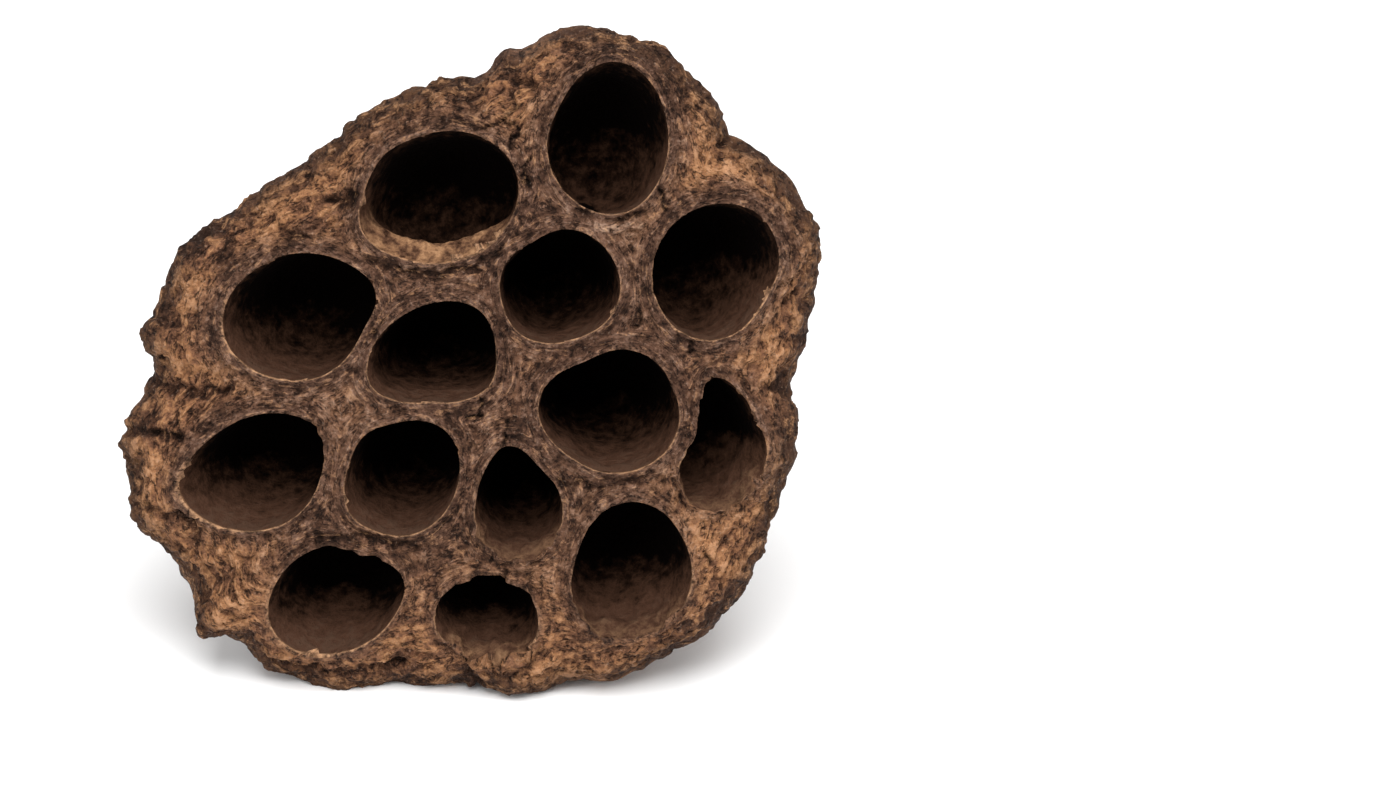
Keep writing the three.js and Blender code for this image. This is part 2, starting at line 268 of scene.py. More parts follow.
def measureLips():
    deepest, widest = fields["lipSearch"]
    near = np.nonzero(local[:, 1] < deepest)[0]
    gaps = np.full((len(points), len(lips)), fields["farLip"])
    below = np.zeros((len(points), len(lips)))  # 1 straight under the mouth's middle, -1 over it
    for k, ring in enumerate(lips):
        tree = treeOf(ring)
        middle = toPod(ring).mean(axis=0)
        away = local - middle
        below[:, k] = -away[:, 2] / np.maximum(np.hypot(away[:, 0], away[:, 2]), 0.01)
        for number in near[np.linalg.norm(away[near], axis=1) < widest]:
            gaps[number, k] = tree.find(Vector(points[number]))[2] / mm
    nearest = np.argmin(gaps, axis=1)
    inside = [np.bincount(cell[(nearest == k) & (cell > 0)]).argmax() for k in range(len(lips))]
    number = np.array(inside)[nearest]
    return gaps.min(axis=1), below[np.arange(len(points)), nearest], number


rimGap = measureRim()
gap1, underLip, nearCell = measureLips()
tornCells = {8: 0.6, 11: 0.6, 12: 0.7, 14: 1.0}  # cells whose lower lip has crumbled, and how much
torn = np.zeros(len(points))
for number, share in tornCells.items():
    torn += (nearCell == number) * share * smoothStep(0.25, 0.75, underLip)
lipGap = np.where(cell > 0, -gap1, gap1)
front = np.where(cell > 0, 0.0, 1.0 - smoothStep(*fields["frontFade"], local[:, 1]))
flank = np.where(cell > 0, 0.0, 1.0 - front)
fromNeck = local - np.array(pod["neck"])
aroundNeck = np.arctan2(fromNeck[:, 2], fromNeck[:, 0])
for sway, size, seed in fields["wander"]:
    aroundNeck += sway * grain(local, size, seed)
alongFlank = np.clip(local[:, 1] / pod["neck"][1], 0.0, 1.4)
ribRun = np.stack([np.cos(aroundNeck), np.sin(aroundNeck), fields["ribStretch"] * alongFlank], axis=1)
alongStump = fromNeck[:, 1] * math.cos(pod["stumpBend"]) - fromNeck[:, 2] * math.sin(pod["stumpBend"])
isStump = (local[:, 1] > 0.9 * pod["neck"][1]) & (alongStump > 0)
cutEnd = alongStump[isStump].max()
pith = np.where(isStump, smoothStep(*(cutEnd - np.array(fields["pithFade"])), alongStump), 0.0)
print("fields ready, stump", round(float(cutEnd), 1), "mm long")

# relief, in mm along the surface's own normals
relief = {
    "lip": 0.22,      # thin raised edge of each mouth
    "moat": 0.20,     # groove just outside it
    "rings": 0.28,    # fibres that ring each mouth
    "flakes": 0.46,   # torn skin in the band inside the rim
    "crumbs": 0.36,
    "lumps": 0.55,    # slow swell of the band
    "crinkle": 0.11,  # at the very edge
    "creases": 0.40,  # short folds across the edge
    "ribs": 0.75,     # along the flank
    "fibres": 0.30,
    "lining": 0.22,   # cell walls
    "torn": 1.10,     # crumbled lower lips
}
pattern = {  # mm
    "patch": 5.0,             # patches where the moat and the folds show
    "lipWidth": 0.35,
    "moat": (0.95, 0.40),     # from the lip, and half as wide
    "offLip": (0.35, 1.0),    # from the lip: smooth, rough
    "ringEnd": (2.6, 4.5),    # from the lip: fibres, none
    "ring": (0.62, 3.6),      # across and along a fibre
    "bandStart": (1.4, 3.6),  # from the lip: none, flaked
    "bandEnd": (10.0, 15.0),  # from the rim: flaked, less so
    "bandEdge": (0.3, 2.6),   # from the rim: worn, flaked
    "flake": (0.95, 2.7),     # across and along a flake
    "crumb": 1.25,
    "lump": 7.5,
    "crease": (2.8, 2.2),     # from the rim: how far one runs, how far its painted shade runs
    "crinkle": (1.7, 1.9),    # from the rim, and its size
    "markStart": (0.15, 0.6),  # from the lip: no mark, marked
    "torn": (2.5, 2.1),       # from the lip, and the size of a lump
    "rimSkin": (3.0, 4.0),    # into the pod: flank starts, fades in
    "rimCrinkle": 2.0,
    "pit": 1.5,
}

# folds and cracks at their places on the seed face: x, z in mm, with width, depth and dark, the painted shade
# in each groove
marks = [
    {"width": 0.20, "depth": 0.75, "dark": 0.95, "paths": [
        [(3.1, 32.4), (3.7, 30.6), (2.3, 29.1), (4.0, 27.8), (3.2, 26.1)],
        [(2.3, 29.1), (0.4, 28.7)],
        [(-0.1, -2.9), (0.2, -4.1), (-0.3, -5.2), (-1.2, -4.9)],
        [(3.1, -5.7), (3.0, -6.8), (2.9, -7.9)],
        [(24.5, 4.4), (24.2, 3.4), (23.9, 2.5)],
        [(18.0, 7.9), (18.5, 7.0), (17.8, 6.1)],
        [(25.3, -11.5), (26.2, -13.9), (27.4, -16.0)],
        [(1.8, -19.7), (2.0, -21.9)],
        [(3.1, -23.3), (3.8, -24.6)],
        [(26.4, -20.3), (26.8, -21.8)],
        [(-3.2, 26.6), (-1.6, 27.6), (0.4, 28.7)],
        [(5.2, 25.0), (4.6, 23.2), (5.3, 21.6)],
        [(-13.0, 5.6), (-12.1, 4.6), (-12.5, 3.4)],
        [(20.6, 22.0), (21.4, 20.6), (21.0, 19.4)],
    ]},
    {"width": 0.38, "depth": 0.50, "dark": 0.45, "paths": [
        [(-12.6, 12.9), (-9.2, 11.6), (-4.6, 11.4), (-0.6, 12.2), (2.6, 14.6)],
        [(11.3, 19.2), (13.8, 18.4), (16.3, 18.4), (18.4, 19.3)],
        [(-38.5, 4.7), (-35.6, 4.8)],
        [(2.3, -35.7), (5.2, -34.8), (7.5, -32.9)],
        [(6.0, -11.5), (10.0, -12.6), (15.0, -12.9), (20.0, -11.0)],
        [(-18.5, -19.8), (-12.0, -19.6), (-7.0, -21.2)],
    ]},
    {"width": 0.62, "depth": 0.95, "dark": 0.28, "paths": [
        [(-39.4, -1.6), (-35.6, -2.9), (-32.0, -3.4), (-28.7, -2.9)],
        [(-41.5, -8.2), (-37.1, -8.1), (-34.5, -8.6)],
        [(-38.8, -16.4), (-35.1, -17.6), (-32.5, -18.9), (-32.2, -20.3)],
        [(-24.7, -34.8), (-20.7, -36.0), (-14.9, -36.2), (-9.2, -34.8)],
        [(-34.3, 13.3), (-31.6, 15.8), (-29.3, 16.6)],
        [(-25.5, 21.2), (-22.4, 22.6), (-20.7, 23.2)],
        [(-17.8, 19.4), (-15.5, 19.3), (-14.6, 20.2)],
        [(-22.6, 15.5), (-20.5, 15.2)],
        [(-2.9, -31.3), (-2.3, -33.3), (-1.4, -35.0), (-0.2, -37.0)],
        [(1.0, 36.0), (3.4, 33.6), (5.7, 32.9)],
        [(29.4, 29.2), (26.9, 26.4)],
    ]},
    {"width": 0.40, "depth": -0.45, "dark": 0.0, "paths": [
        [(2.3, -34.8), (4.4, -33.8), (6.4, -32.1)],
        [(13.2, 17.6), (15.5, 17.3), (18.4, 18.0)],
        [(-9.0, 12.5), (-4.6, 12.3), (-0.8, 13.0)],
        [(0.9, -5.0), (1.15, -5.1)],
    ]},
]


def gapToPath(spots, path):
    best = np.full(len(spots), 99.0)
    for a, b in zip(path, path[1:]):
        a, b = np.array(a), np.array(b)
        t = np.clip((spots - a) @ (b - a) / ((b - a) @ (b - a)), 0.0, 1.0)
        best = np.minimum(best, np.linalg.norm(spots - a - t[:, None] * (b - a), axis=1))
    return best


def markRelief(at):
    wobble = np.stack([grain(at, 1.5, 31), grain(at, 1.5, 32)], axis=1)
    spots = at[:, [0, 2]] + 0.7 * wobble
    height, dark = np.zeros(len(at)), np.zeros(len(at))
    for mark in marks:
        for path in mark["paths"]:
            line = np.exp(-(gapToPath(spots, path) / mark["width"]) ** 2)
            height -= mark["depth"] * line
            # dark: painted shade in the groove of each mark
            dark = np.maximum(dark, mark["dark"] * line)
    return height, dark


def faceRelief(pick):
    at, g1, edge = local[pick], gap1[pick], np.maximum(rimGap[pick], 0.0)
    circle = np.stack([np.cos(turn[pick]), np.sin(turn[pick])], axis=1)
    patch = smoothStep(-0.3, 0.3, grain(at, pattern["patch"], 2))
    height = relief["lip"] * (1 - torn[pick]) * np.exp(-(g1 / pattern["lipWidth"]) ** 2)
    tornReach, tornSize = pattern["torn"]
    crumbled = torn[pick] * np.exp(-g1 / tornReach) * (grain(at, tornSize, 16, 3) - 0.15)
    height += 0.8 * relief["torn"] * crumbled
    moatGap, moatWidth = pattern["moat"]
    height -= relief["moat"] * patch * np.exp(-((g1 - moatGap) / moatWidth) ** 2)
    offLip = smoothStep(*pattern["offLip"], g1)
    ringFade = offLip * (1 - smoothStep(*pattern["ringEnd"], g1))
    wide, long = pattern["ring"]
    ringRun = np.stack([g1 / wide, at[:, 0] / long, at[:, 2] / long], axis=1)
    fibres = grain(ringRun, 1.0, 3, 3)
    height += relief["rings"] * ringFade * (0.7 * fibres + 0.7 * np.exp(-(fibres / 0.14) ** 2) - 0.2)
    band = smoothStep(*pattern["bandStart"], g1) * (0.35 + 0.65 * (1 - smoothStep(*pattern["bandEnd"], edge)))
    band *= 0.3 + 0.7 * smoothStep(*pattern["bandEdge"], edge)
    wide, long = pattern["flake"]
    flakeRun = np.stack([edge / wide, at[:, 0] / long, at[:, 2] / long], axis=1)
    tears = grain(flakeRun, 1.0, 4, 3)
    height += relief["flakes"] * band * (smoothStep(-0.14, 0.12, tears) - 0.5)
    chips = grain(at, pattern["crumb"], 5, 2)
    height += relief["crumbs"] * offLip * (0.8 + 0.2 * band) * (smoothStep(-0.3, 0.3, chips) - 0.5)
    height += relief["lumps"] * band * grain(at, pattern["lump"], 6)
    creaseRun = np.column_stack([circle * 5.5, edge / 10.0])
    creases = np.exp(-(grain(creaseRun, 1.0, 7, 2) / 0.11) ** 2) * patch
    creaseReach, creaseShadeReach = pattern["crease"]
    height -= relief["creases"] * creases * np.exp(-edge / creaseReach)
    crinkleReach, crinkleSize = pattern["crinkle"]
    height += relief["crinkle"] * np.exp(-edge / crinkleReach) * grain(at, crinkleSize, 8, 2)
    # painted shade in the marks' grooves and along the creases by the rim, kept as the crack shade field
    marked, dark = markRelief(at)
    fadeIn = smoothStep(*pattern["markStart"], g1)
    return height + marked * fadeIn, np.maximum(dark * fadeIn, 0.5 * creases * np.exp(-edge / creaseShadeReach))


def flankRelief(pick):
    at, run = local[pick], ribRun[pick]
    start, fade = pattern["rimSkin"]
    nearRim = np.exp(-np.maximum(at[:, 1] - start, 0) / fade)
    folds = grain(run * [4.0, 4.0, 6.0], 1.0, 9, 2)
    ribs = grain(run * [11.0, 11.0, 10.0], 1.0, 10, 2)
    thin = grain(run * [27.0, 27.0, 22.0], 1.0, 11, 2)
    body = 1.0 - pith[pick]
    height = relief["ribs"] * (1.5 * folds + 0.9 * (0.5 - np.abs(ribs) * 1.8)) + relief["fibres"] * thin
    height = body * height * (1 - 0.9 * nearRim)
    height += relief["crinkle"] * nearRim * grain(at, pattern["rimCrinkle"], 12, 2)
    pits = smoothStep(0.1, 0.45, grain(at, pattern["pit"], 13, 2))
    return height - 0.7 * pith[pick] * pits


def liningRelief(pick):
    at = local[pick]
    fade = smoothStep(0.2, 1.5, gap1[pick])
    lumps = relief["lining"] * fade * (grain(at, 1.5, 14) + 1.3 * grain(at, 4.0, 15))
    chunks = torn[pick] * (1 - smoothStep(4.0, 8.0, gap1[pick])) * grain(at, pattern["torn"][1], 16, 3)
    return lumps + relief["torn"] * fade * chunks


lift, crack = np.zeros(len(points)), np.zeros(len(points))
onFace, onFlank, inCell = np.nonzero(front > 0)[0], np.nonzero(flank > 0)[0], np.nonzero(cell > 0)[0]
faceHeight, crack[onFace] = faceRelief(onFace)
lift[onFace] += front[onFace] * faceHeight
lift[onFlank] += flank[onFlank] * flankRelief(onFlank)
lift[inCell] = liningRelief(inCell)

# the rim spread a little, and the sloping shelf inside the second cell's lower lip
spread = {"all": 0.5, "places": [(186, 22, 1.5), (214, 16, 1.0), (262, 26, 0.8)]}  # degrees, degrees, mm
shelf = {"cell": 2, "reach": 2.0, "depth": 4.8}                                    # mm


def spreadRim():
    amount = np.full(len(points), spread["all"])
    for at, width, extra in spread["places"]:
        apart = np.degrees(np.angle(np.exp(1j * (turn - math.radians(at)))))
        amount += extra * np.exp(-(apart / width) ** 2)
    near = np.exp(-np.maximum(rimGap, 0) / 5.0) * (1 - smoothStep(5.0, 15.0, local[:, 1]))
    out = np.stack([np.cos(turn), 0 * turn, np.sin(turn)], axis=1)
    return out * (amount * near * (cell == 0))[:, None]


def gapMiddle(ring):  # from the shelf cell's own middle
    own = local[cell == shelf["cell"]].mean(axis=0)
    return (toPod(ring).mean(axis=0) - own)[[0, 2]]


def pushShelf():
    ring = min(lips, key=lambda r: np.abs(gapMiddle(r)).sum())
    middle = toPod(ring).mean(axis=0)
    inward = middle - local
    inward[:, 1] = 0.0
    inward /= np.maximum(np.linalg.norm(inward, axis=1), 0.01)[:, None]
    depth = gap1 / shelf["depth"]
    slope = smoothStep(0.0, 0.5, depth) * (1 - smoothStep(0.55, 1.4, depth))
    under = smoothStep(0.1, 0.75, underLip) * (cell == shelf["cell"])
    return inward * (shelf["reach"] * slope * under)[:, None], under * (1 - smoothStep(0.7, 1.1, depth))


def tearLips():  # ragged along the crumbled lips
    push = np.zeros((len(points), 3))
    pick = np.nonzero((torn > 0) & (gap1 < 3.0))[0]
    ragged = np.stack([grain(local[pick], 1.7, 17, 3), 0 * pick, grain(local[pick], 1.7, 18, 3)], axis=1)
    push[pick] = ragged * (1.2 * torn[pick] * np.exp(-(gap1[pick] / 1.1) ** 2))[:, None]
    return push


shelfPush, shelfShare = pushShelf()
normals = np.empty(len(points) * 3)
podPiece.data.vertex_normals.foreach_get("vector", normals)
normals = normals.reshape(-1, 3)
nearLip = (1 - smoothStep(0.1, 0.7, gap1))[:, None]  # a lip rises straight out of the face
straight = turnToFrame(np.tile([0.0, -1.0, 0.0], (len(points), 1)))
normals = normals * (1 - nearLip) + straight * nearLip
lipRise = (1 - torn) * relief["lip"] * np.exp(-(gap1 / pattern["lipWidth"]) ** 2)
lift = np.where(cell > 0, lift + lipRise, lift)
moved = points + normals * lift[:, None] * mm
moved += turnToFrame(spreadRim() + shelfPush + tearLips()) * mm
moved[:, 2] = np.maximum(moved[:, 2], 0.0)  # still rests on its low spots
podPiece.data.vertices.foreach_set("co", moved.ravel())
podPiece.data.update()
print("relief moved:", round(float(lift.min()), 2), "to", round(float(lift.max()), 2), "mm")


def storeField(piece, name, values):
    kind, part = ("FLOAT_VECTOR", "vector") if values.ndim == 2 else ("FLOAT", "value")
    field = piece.data.attributes.new(name, kind, "POINT")
    field.data.foreach_set(part, values.astype(np.float32).ravel())


stored = {"lipGap": lipGap, "rimGap": rimGap, "underLip": underLip, "front": front, "lift": lift,
          "crack": crack, "pith": pith, "shelf": shelfShare, "torn": torn, "ribRun": ribRun}
for name, values in stored.items():
    storeField(podPiece, name, values)


# finishes
def colour(hexCode):  # sRGB hex to linear
    channels = [int(hexCode[i:i + 2], 16) / 255 for i in (1, 3, 5)]
    return tuple(c / 12.92 if c <= 0.04045 else ((c + 0.055) / 1.055) ** 2.4 for c in channels) + (1.0,)


def addNode(material, kind, links=None, out=0, ramp=None, **settings):
    node = material.node_tree.nodes.new(kind)
    for name, value in settings.items():
        setattr(node, name, value)
    for number, (place, hexCode) in enumerate(ramp or []):
        stops = node.color_ramp.elements
        stop = stops[number] if number < 2 else stops.new(place)
        stop.position, stop.color = place, colour(hexCode)
    for socket, value in (links or {}).items():
        if isinstance(value, bpy.types.NodeSocket):
            material.node_tree.links.new(value, node.inputs[socket])
        else:
            node.inputs[socket].default_value = value
    return node.outputs[out] if node.outputs else None


def newFinish(name):
    material = bpy.data.materials.new(name)
    material.use_nodes = True
    material.node_tree.nodes.clear()
    return material


husk = {
    # tone ramps, dark to pale; their pale grey tops partly stand for a painted sheen on ridges
    "web": [(0.12, "#22140d"), (0.90, "#b5957f"), (0.34, "#473024"), (0.52, "#684a3a"), (0.70, "#876857")],
    "band": [(0.12, "#24150d"), (0.90, "#bf8d68"), (0.34, "#573a2a"), (0.52, "#845b42"), (0.70, "#a6754f")],
    "flank": [(0.12, "#23150e"), (0.90, "#9c8576"), (0.34, "#4a3328"), (0.52, "#684a39"), (0.70, "#81624f")],
    "tinge": "#93643f",   # orange patches on the flank
    "pith": [(0.22, "#2c190e"), (0.80, "#d8cdc2"), (0.40, "#8a5c38"), (0.55, "#b07d4e"), (0.66, "#bd9266")],
    # painted shade, laid into cracks, folds, creases and flake edges
    "crack": "#1c0f08",
    "edge": "#37251c",   # dark crinkled edge of the rim
    "fleck": "#a58a78",
    # painted highlight along flake edges
    "ridge": "#bb8c64",
    # painted highlight on the lips, partly the lip's own paler edge
    "lipHighlight": "#d3a279",
    "ring": (0.50, 2.3),   # mm, across and along the fibres that ring a mouth
    "flake": (0.85, 2.8),  # mm, across and along the torn flakes
    "crumb": 1.15,         # mm
    "speck": 0.40,         # mm
    "blotch": 9.0,         # mm
    "ribs": 22.0,          # streaks to a radian about the neck
    "lowWeb": (34.0, 12.0, 2.0),  # mm over the floor, from and to: lower webs count as farther from a lip
    "mix": {  # streak, then the weights of streak, crumb, speck, blotch and lift, then an offset; the lift weight paints shade into hollows and light onto ridges
        "web": ("ring", 0.55, 1.00, 0.45, 0.38, 0.45, -0.69),
        "band": ("flake", 0.90, 1.00, 0.60, 0.70, 0.30, -1.01),
        "flank": ("rib", 0.95, 0.60, 0.40, 0.55, 0.32, -0.75),
        "pith": ("rib", 0.20, 1.50, 0.40, 0.30, 0.25, -0.70),
    },
    "lines": {  # streak value, half widths of core and edge, strength, crumb where none and all show
        # painted shade and painted highlight along the flake edges
        "crack": (0.50, 0.008, 0.050, 0.85, 0.54, 0.44),
        "ridge": (0.60, 0.006, 0.042, 0.60, 0.46, 0.56),
    },
    "bumpDepth": 1.0,      # mm
}


# dried lotus husk: leathery skin over pith, shrunk and weathered, so it is matt, blotched and fibrous
def huskFinish():
    mat = newFinish("driedLotusHusk")
    place = addNode(mat, "ShaderNodeTexCoord", out=3)
    across = addNode(mat, "ShaderNodeSeparateXYZ", {0: place}, out=0)
    up = addNode(mat, "ShaderNodeSeparateXYZ", {0: place}, out=2)
    field = {name: addNode(mat, "ShaderNodeAttribute", out=2, attribute_name=name)
             for name in ("lipGap", "rimGap", "underLip", "front", "lift", "crack", "pith", "torn")}
    ribs = addNode(mat, "ShaderNodeAttribute", out=1, attribute_name="ribRun")

    crumb = addNode(mat, "ShaderNodeTexNoise", {"Vector": place, "Scale": 1000 / husk["crumb"], "Detail": 5.0,
                                                "Roughness": 0.68})
    speck, blotch = (addNode(mat, "ShaderNodeTexNoise", {"Vector": place, "Scale": 1000 / husk[name],
                                                         "Detail": 3.0}) for name in ("speck", "blotch"))

    # fibres ring the mouths, flakes follow the rim, ribs run to the stalk
    streaks = {}
    for name, gap in (("ring", field["lipGap"]), ("flake", field["rimGap"])):
        wide, long = husk[name]
        run = addNode(mat, "ShaderNodeCombineXYZ", {0: gap, 1: across, 2: up})
        run = addNode(mat, "ShaderNodeVectorMath", {0: run, 1: (1 / wide, 1000 / long, 1000 / long)},
                      operation="MULTIPLY")
        streaks[name] = addNode(mat, "ShaderNodeTexNoise", {"Vector": run, "Scale": 1.0, "Detail": 4.0,
                                                            "Roughness": 0.62, "Distortion": 0.5})
    streaks["rib"] = addNode(mat, "ShaderNodeTexNoise", {"Vector": ribs, "Scale": husk["ribs"], "Detail": 5.0,
                                                         "Roughness": 0.62})

    # one tone for each kind of surface, with painted shade darker in hollows and a painted pale grey
    # highlight on ridges, both from the relief height
    tones = {}
    for name, (streak, *weights, offset) in husk["mix"].items():
        tone = addNode(mat, "ShaderNodeMath", {0: streaks[streak], 1: weights[0], 2: offset},
                       operation="MULTIPLY_ADD")
        # painted shade and highlight: the relief height (lift) darkens hollows and lightens ridges
        for value, weight in zip((crumb, speck, blotch, field["lift"]), weights[1:]):
            tone = addNode(mat, "ShaderNodeMath", {0: value, 1: weight, 2: tone}, operation="MULTIPLY_ADD")
        tones[name] = addNode(mat, "ShaderNodeValToRGB", {0: tone}, ramp=husk[name])

    wander = addNode(mat, "ShaderNodeMath", {0: blotch, 1: 5.0, 2: -2.5}, operation="MULTIPLY_ADD")
    offLip = addNode(mat, "ShaderNodeMath", {0: field["lipGap"], 1: wander}, operation="ADD")
    high, low, gain = husk["lowWeb"]
    warm = addNode(mat, "ShaderNodeMapRange", {0: up, 1: high * mm, 2: low * mm, 3: 0.0, 4: gain})
    offLip = addNode(mat, "ShaderNodeMath", {0: offLip, 1: warm}, operation="ADD")
    bandShare = addNode(mat, "ShaderNodeMapRange", {0: offLip, 1: 0.8, 2: 3.6})
    nearRim = addNode(mat, "ShaderNodeMapRange", {0: field["rimGap"], 1: 16.0, 2: 7.0, 3: 0.25, 4: 1.0})
    bandShare = addNode(mat, "ShaderNodeMath", {0: bandShare, 1: nearRim}, operation="MULTIPLY")
    grainy = addNode(mat, "ShaderNodeMix", {0: bandShare, 2: streaks["ring"], 3: streaks["flake"]},
                     data_type="FLOAT")
    grainy = addNode(mat, "ShaderNodeMix", {0: field["front"], 2: streaks["rib"], 3: grainy},
                     data_type="FLOAT")
    skin = addNode(mat, "ShaderNodeMix", {0: bandShare, 6: tones["web"], 7: tones["band"]}, out=2,
                   data_type="RGBA")
    offRim = addNode(mat, "ShaderNodeMath", {0: crumb, 1: 3.0, 2: field["rimGap"]}, operation="MULTIPLY_ADD")
    edgeShare = addNode(mat, "ShaderNodeMapRange", {0: offRim, 1: 2.3, 2: 4.5, 3: 0.8, 4: 0.0})
    skin = addNode(mat, "ShaderNodeMix", {0: edgeShare, 6: skin, 7: colour(husk["edge"])}, out=2,
                   data_type="RGBA")
    rust = addNode(mat, "ShaderNodeMath", {0: blotch, 1: crumb}, operation="ADD")
    rust = addNode(mat, "ShaderNodeMapRange", {0: rust, 1: 1.0, 2: 1.25, 3: 0.0, 4: 0.7})
    side = addNode(mat, "ShaderNodeMix", {0: rust, 6: tones["flank"], 7: colour(husk["tinge"])}, out=2,
                   data_type="RGBA")
    skin = addNode(mat, "ShaderNodeMix", {0: field["front"], 6: side, 7: skin}, out=2, data_type="RGBA")
    skin = addNode(mat, "ShaderNodeMix", {0: field["pith"], 6: skin, 7: tones["pith"]}, out=2,
                   data_type="RGBA")
    # painted shade in cracks, folds and creases
    skin = addNode(mat, "ShaderNodeMix", {0: field["crack"], 6: skin, 7: colour(husk["crack"])}, out=2,
                   data_type="RGBA")

    # torn edges of the skin: painted shade as short dark lines, with a painted highlight as a pale line
    # beside them
    for name, (centre, core, edge, strength, none, full) in husk["lines"].items():
        line = addNode(mat, "ShaderNodeMath", {0: grainy, 1: centre}, operation="SUBTRACT")
        line = addNode(mat, "ShaderNodeMath", {0: line}, operation="ABSOLUTE")
        line = addNode(mat, "ShaderNodeMapRange", {0: line, 1: core, 2: edge, 3: strength, 4: 0.0})
        some = addNode(mat, "ShaderNodeMapRange", {0: crumb, 1: none, 2: full})
        line = addNode(mat, "ShaderNodeMath", {0: line, 1: some}, operation="MULTIPLY")
        skin = addNode(mat, "ShaderNodeMix", {0: line, 6: skin, 7: colour(husk[name])}, out=2,
                       data_type="RGBA")
    tornEdge = addNode(mat, "ShaderNodeMapRange", {0: grainy, 1: 0.48, 2: 0.52})
    flecks = addNode(mat, "ShaderNodeMapRange", {0: speck, 1: 0.62, 2: 0.72, 3: 0.0, 4: 0.35})
    skin = addNode(mat, "ShaderNodeMix", {0: flecks, 6: skin, 7: colour(husk["fleck"])}, out=2,
                   data_type="RGBA")

    # broken pale line on each lip: partly the lip's own paler edge, partly a painted highlight, strongest
    # along the lower lips that face the light
    lowerLipLit = addNode(mat, "ShaderNodeMapRange", {0: field["underLip"], 1: -0.35, 2: 0.6, 3: 0.05, 4: 1.0})
    line = addNode(mat, "ShaderNodeMapRange", {0: field["lipGap"], 1: 0.05, 2: 0.20, 3: 1.0, 4: 0.0})
    dashes = addNode(mat, "ShaderNodeMapRange", {0: crumb, 1: 0.42, 2: 0.58, 3: 0.2, 4: 0.8})
    whole = addNode(mat, "ShaderNodeMapRange", {0: field["torn"], 1: 0.0, 2: 0.6, 3: 1.0, 4: 0.0})
    lipShare = addNode(mat, "ShaderNodeMath", {0: lowerLipLit, 1: line}, operation="MULTIPLY")
    lipShare = addNode(mat, "ShaderNodeMath", {0: lipShare, 1: whole}, operation="MULTIPLY")
    lipShare = addNode(mat, "ShaderNodeMath", {0: lipShare, 1: dashes}, operation="MULTIPLY")
    skin = addNode(mat, "ShaderNodeMix", {0: lipShare, 6: skin, 7: colour(husk["lipHighlight"])}, out=2,
                   data_type="RGBA")

    height = addNode(mat, "ShaderNodeMath", {0: grainy, 1: crumb}, operation="ADD")
    height = addNode(mat, "ShaderNodeMath", {0: tornEdge, 1: 0.30, 2: height}, operation="MULTIPLY_ADD")
    height = addNode(mat, "ShaderNodeMath", {0: speck, 1: 0.5, 2: height}, operation="MULTIPLY_ADD")
    bump = addNode(mat, "ShaderNodeBump", {"Strength": 1.0, "Distance": husk["bumpDepth"] * mm,
                                           "Height": height})
    shader = addNode(mat, "ShaderNodeBsdfPrincipled", {"Base Color": skin, "Roughness": 0.70, "Normal": bump,
                                                       "IOR": 1.45, "Specular IOR Level": 0.16})
    addNode(mat, "ShaderNodeOutputMaterial", {"Surface": shader})
    return mat


lining = {
    # wall tones, with painted shade that runs to black with depth
    "wall": [(0.0, "#4d382c"), (1.0, "#070302"), (0.22, "#493226"), (0.50, "#3d291e"), (0.78, "#20130c")],
    "depth": 16.0,   # mm, where the painted shade is darkest
    "roofShade": 0.80,    # of that depth, by which painted shade makes the upper wall darker
    "shelf": [(0.30, "#23150d"), (0.72, "#b78d68"), (0.43, "#5a3f2f"), (0.56, "#8d684b")],
    "mottle": 1.3,   # mm
    # painted highlight along the inside of the lower lips
    "lip": "#b88a64",
    "bumpDepth": 1.0,  # mm
}
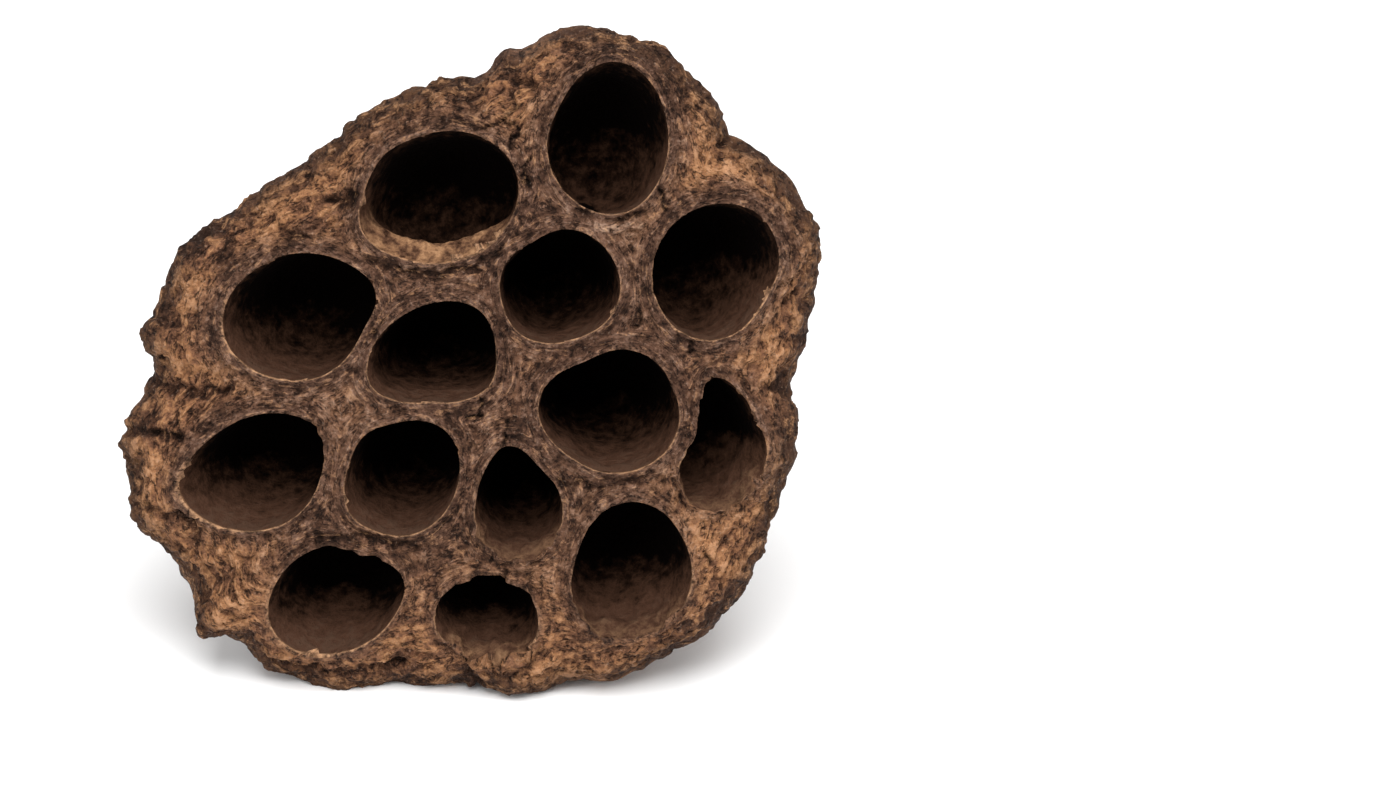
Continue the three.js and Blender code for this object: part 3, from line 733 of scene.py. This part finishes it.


# cell lining: papery dark skin that the seeds left, dull, with painted shade that darkens it with depth and
# on the upper walls
def liningFinish():
    mat = newFinish("paperyCellLining")
    place = addNode(mat, "ShaderNodeTexCoord", out=3)
    field = {name: addNode(mat, "ShaderNodeAttribute", out=2, attribute_name=name)
             for name in ("lipGap", "underLip", "shelf", "torn")}
    mottle = addNode(mat, "ShaderNodeTexNoise", {"Vector": place, "Scale": 1000 / lining["mottle"],
                                                 "Detail": 5.0, "Roughness": 0.65})
    # painted shade: darker with depth into the cell and on the upper walls
    depth = addNode(mat, "ShaderNodeMapRange", {0: field["lipGap"], 1: 0.0, 2: -lining["depth"]})
    uneven = addNode(mat, "ShaderNodeMath", {0: mottle, 1: -1.6, 2: 0.8}, operation="MULTIPLY_ADD")
    depth = addNode(mat, "ShaderNodeMath", {0: depth, 1: uneven}, operation="ADD")
    roofShade = addNode(mat, "ShaderNodeMapRange", {0: field["underLip"], 1: 0.80, 2: -0.45, 3: 0.0,
                                               4: lining["roofShade"]})
    depth = addNode(mat, "ShaderNodeMath", {0: depth, 1: roofShade}, operation="ADD")
    wall = addNode(mat, "ShaderNodeValToRGB", {0: depth}, ramp=lining["wall"])
    tan = addNode(mat, "ShaderNodeValToRGB", {0: mottle}, ramp=lining["shelf"])
    crumbled = addNode(mat, "ShaderNodeMapRange", {0: field["lipGap"], 1: -3.5, 2: -0.3, 3: 0.0, 4: 0.6})
    crumbled = addNode(mat, "ShaderNodeMath", {0: crumbled, 1: field["torn"], 2: field["shelf"]},
                       operation="MULTIPLY_ADD", use_clamp=True)
    wall = addNode(mat, "ShaderNodeMix", {0: crumbled, 6: wall, 7: tan}, out=2, data_type="RGBA")
    # broken pale line inside the lips, a painted highlight strongest along the lower lips that face the light
    lowerLipLit = addNode(mat, "ShaderNodeMapRange", {0: field["underLip"], 1: -0.2, 2: 0.7, 3: 0.0, 4: 1.0})
    line = addNode(mat, "ShaderNodeMapRange", {0: field["lipGap"], 1: -0.18, 2: -0.03, 3: 0.0, 4: 0.6})
    dashes = addNode(mat, "ShaderNodeMapRange", {0: mottle, 1: 0.44, 2: 0.56, 3: 0.15, 4: 1.0})
    whole = addNode(mat, "ShaderNodeMapRange", {0: field["torn"], 1: 0.0, 2: 0.6, 3: 1.0, 4: 0.0})
    dashes = addNode(mat, "ShaderNodeMath", {0: dashes, 1: whole}, operation="MULTIPLY")
    lipShare = addNode(mat, "ShaderNodeMath", {0: lowerLipLit, 1: line}, operation="MULTIPLY")
    lipShare = addNode(mat, "ShaderNodeMath", {0: lipShare, 1: dashes}, operation="MULTIPLY")
    wall = addNode(mat, "ShaderNodeMix", {0: lipShare, 6: wall, 7: colour(lining["lip"])}, out=2,
                   data_type="RGBA")
    bump = addNode(mat, "ShaderNodeBump", {"Strength": 1.0, "Distance": lining["bumpDepth"] * mm,
                                           "Height": mottle})
    shader = addNode(mat, "ShaderNodeBsdfPrincipled", {"Base Color": wall, "Roughness": 0.9, "Normal": bump,
                                                       "IOR": 1.45, "Specular IOR Level": 0.04})
    addNode(mat, "ShaderNodeOutputMaterial", {"Surface": shader})
    return mat


podPiece.data.materials.append(huskFinish())
podPiece.data.materials.append(liningFinish())
for face in podPiece.data.polygons:
    face.use_smooth = True
    face.material_index = 1 if all(cell[v] > 0 for v in face.vertices) else 0
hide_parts(pod["node"])
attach(podPiece, "root")
print("finishes on")

# floor, soft light and camera
stage = {"floor": "#ffffff", "floorSize": 4.0, "sky": 0.30, "lit": (0, 0, 0.03)}  # metres
deselectAll()
bpy.ops.mesh.primitive_plane_add(size=stage["floorSize"], location=(0, 0, 0))
floor = bpy.context.active_object
floor.name = "studio_floor"
paper = newFinish("whitePaper")  # matt white sheet: soft shadow, no gloss
paperShader = addNode(paper, "ShaderNodeBsdfPrincipled", {"Base Color": colour(stage["floor"]),
                                                          "Roughness": 0.9})
addNode(paper, "ShaderNodeOutputMaterial", {"Surface": paperShader})
floor.data.materials.append(paper)

lamps = {  # place in metres, size in metres, watts
    "overhead": {"at": (0.05, -0.28, 0.75), "size": 0.6, "power": 7.6},
    "frontLeft": {"at": (-0.55, -0.65, 0.45), "size": 0.5, "power": 2.2},
    "right": {"at": (0.65, -0.25, 0.4), "size": 0.5, "power": 1.8},
    "rear": {"at": (-0.2, 0.7, 0.55), "size": 0.6, "power": 2.2},
}
for name, lamp in lamps.items():
    bpy.ops.object.light_add(type="AREA", location=lamp["at"])
    light = bpy.context.active_object
    light.name = name
    light.data.size = lamp["size"]
    light.data.energy = lamp["power"]
    light.rotation_euler = (Vector(stage["lit"]) - Vector(lamp["at"])).to_track_quat("-Z", "Y").to_euler()
world = bpy.data.worlds.new("studio")
world.use_nodes = True
world.node_tree.nodes["Background"].inputs["Color"].default_value = (1, 1, 1, 1)
world.node_tree.nodes["Background"].inputs["Strength"].default_value = stage["sky"]
bpy.context.scene.world = world
bpy.context.scene.view_settings.view_transform = "Standard"

shot = {
    "azimuth": math.radians(3),
    "elevation": math.radians(30),
    "lens": 150.0,             # mm
    "sensor": 36,              # mm
    "pixelsPerMm": 8.7,        # at the seed face
    "imageSize": (1400, 788),
    "facePixel": (480, 372),   # where the face's centre shows
}


def addCamera():
    a, e = shot["azimuth"], shot["elevation"]
    back = Vector((math.sin(a) * math.cos(e), -math.cos(a) * math.cos(e), math.sin(e)))
    right = Vector((math.cos(a), math.sin(a), 0))
    up = back.cross(right)
    width, height = shot["imageSize"]
    pixel = mm / shot["pixelsPerMm"]
    distance = shot["lens"] / shot["sensor"] * width * pixel
    aim = Vector(pod["faceCentre"]) * mm
    aim += right * (width / 2 - shot["facePixel"][0]) * pixel
    aim -= up * (height / 2 - shot["facePixel"][1]) * pixel
    bpy.ops.object.camera_add(location=aim + back * distance)
    camera = bpy.context.active_object
    camera.data.lens = shot["lens"]
    camera.data.sensor_width = shot["sensor"]
    camera.data.clip_start = 0.01
    camera.rotation_euler = (-back).to_track_quat("-Z", "Y").to_euler()
    bpy.context.scene.camera = camera


addCamera()
print("stage, lights and camera set")
